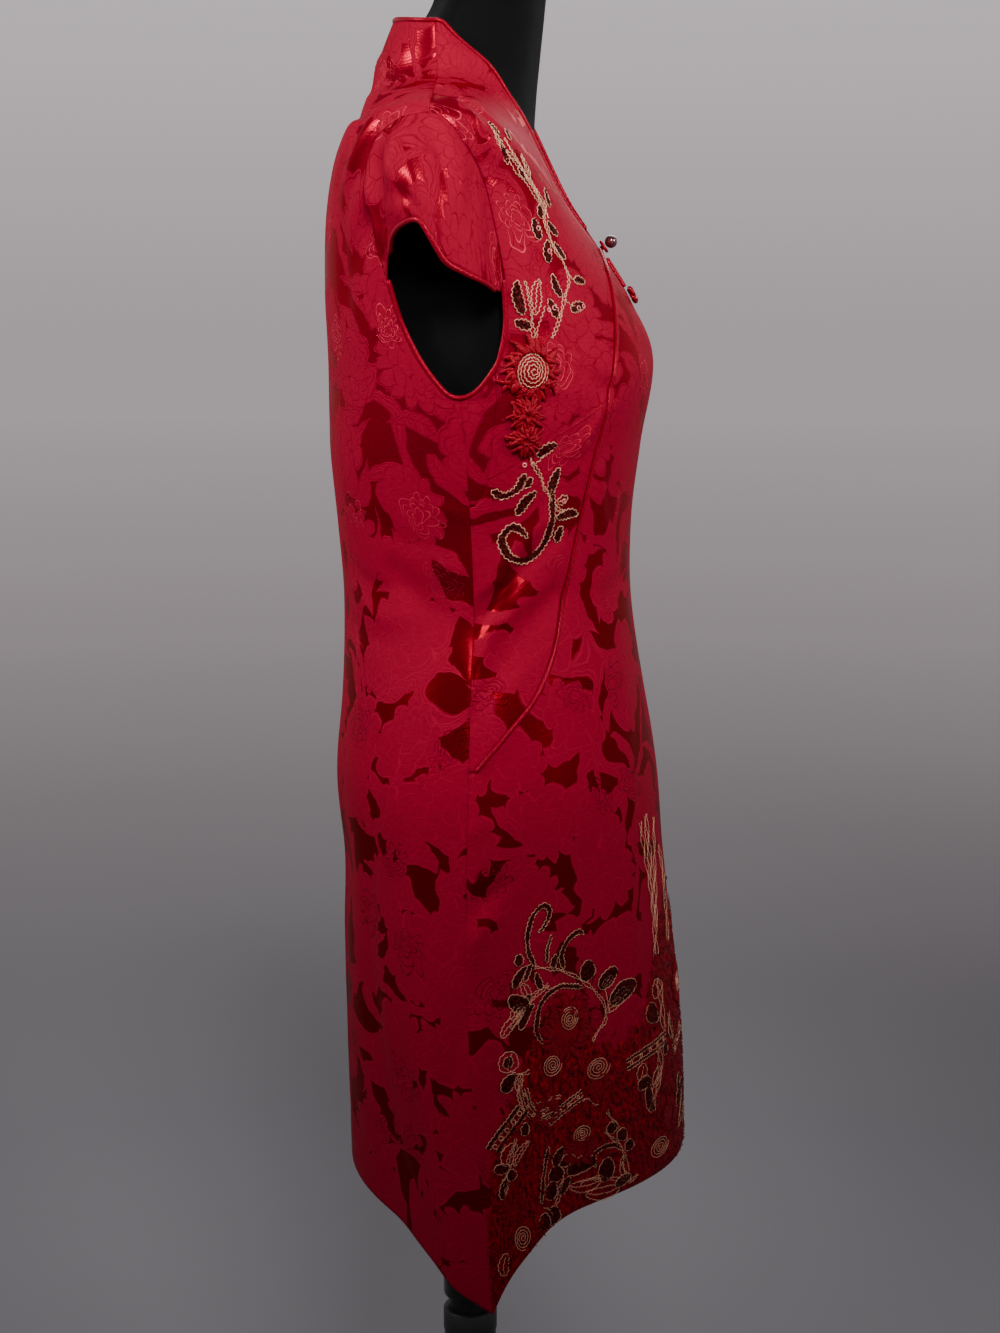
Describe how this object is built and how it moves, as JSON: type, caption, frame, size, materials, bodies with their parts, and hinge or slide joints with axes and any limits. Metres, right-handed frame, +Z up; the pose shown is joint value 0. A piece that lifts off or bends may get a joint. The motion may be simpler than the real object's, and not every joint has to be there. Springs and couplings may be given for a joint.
{
  "type": "cheongsam dress on a limbless dress form with a stand",
  "caption": "Fitted knee-length satin cheongsam with cap sleeves, a curved wrap edge and a hem that dips at the sides, worn on a black limbless dress form on a pole.",
  "frame": {"origin": "on the floor, at the centre of the round base, under the axis of the pole", "axes": "+X towards the front of the dress, +Z up along the pole; the wearer's right side is towards -Y"},
  "size_m": [0.335, 0.4534, 1.5383],
  "materials": {
    "crimson_jacquard_satin": "glossy figured satin cloth",
    "crimson_plain_satin": "plain satin cut on the bias",
    "deep_red_ribbon": "gathered narrow ribbon",
    "dark_glass_bead": "polished dark bead",
    "black_form_cover": "close black jersey cover",
    "black_painted_steel": "satin black paint",
    "black_plastic": "moulded, fine grain"
  },
  "bodies": {
    "root": {"front_main": "crimson_jacquard_satin", "front_upper_right": "crimson_jacquard_satin", "side_front_right": "crimson_jacquard_satin", "side_front_left": "crimson_jacquard_satin", "back": "crimson_jacquard_satin", "cap_sleeve_right": "crimson_jacquard_satin", "cap_sleeve_left": "crimson_jacquard_satin", "armhole_binding_right": "crimson_plain_satin", "armhole_binding_left": "crimson_plain_satin", "sleeve_piping_right": "crimson_plain_satin", "sleeve_piping_left": "crimson_plain_satin", "neckline_binding": "crimson_plain_satin", "wrap_piping": "crimson_plain_satin", "frog_tab": "crimson_plain_satin", "frog_knot": "crimson_plain_satin", "frog_loop": "crimson_plain_satin", "frog_shank": "crimson_plain_satin", "chest_bloom": "deep_red_ribbon", "chest_bud_upper": "deep_red_ribbon", "chest_bud_lower": "deep_red_ribbon", "hem_bloom_main": "deep_red_ribbon", "hem_bloom_side": "deep_red_ribbon", "hem_bloom_mid": "deep_red_ribbon", "hem_bloom_low": "deep_red_ribbon", "hem_bloom_corner": "deep_red_ribbon", "hem_bloom_front": "deep_red_ribbon", "hem_bloom_centre": "deep_red_ribbon", "hem_bloom_left": "deep_red_ribbon", "hem_bloom_left_low": "deep_red_ribbon", "frog_bead": "dark_glass_bead", "form_torso": "black_form_cover", "pole_sleeve": "black_painted_steel", "pole": "black_painted_steel", "pole_lower": "black_painted_steel", "round_base": "black_painted_steel", "neck_cap": "black_plastic", "lock_collar": "black_plastic", "base_hub": "black_plastic"}
  },
  "joints": []
}
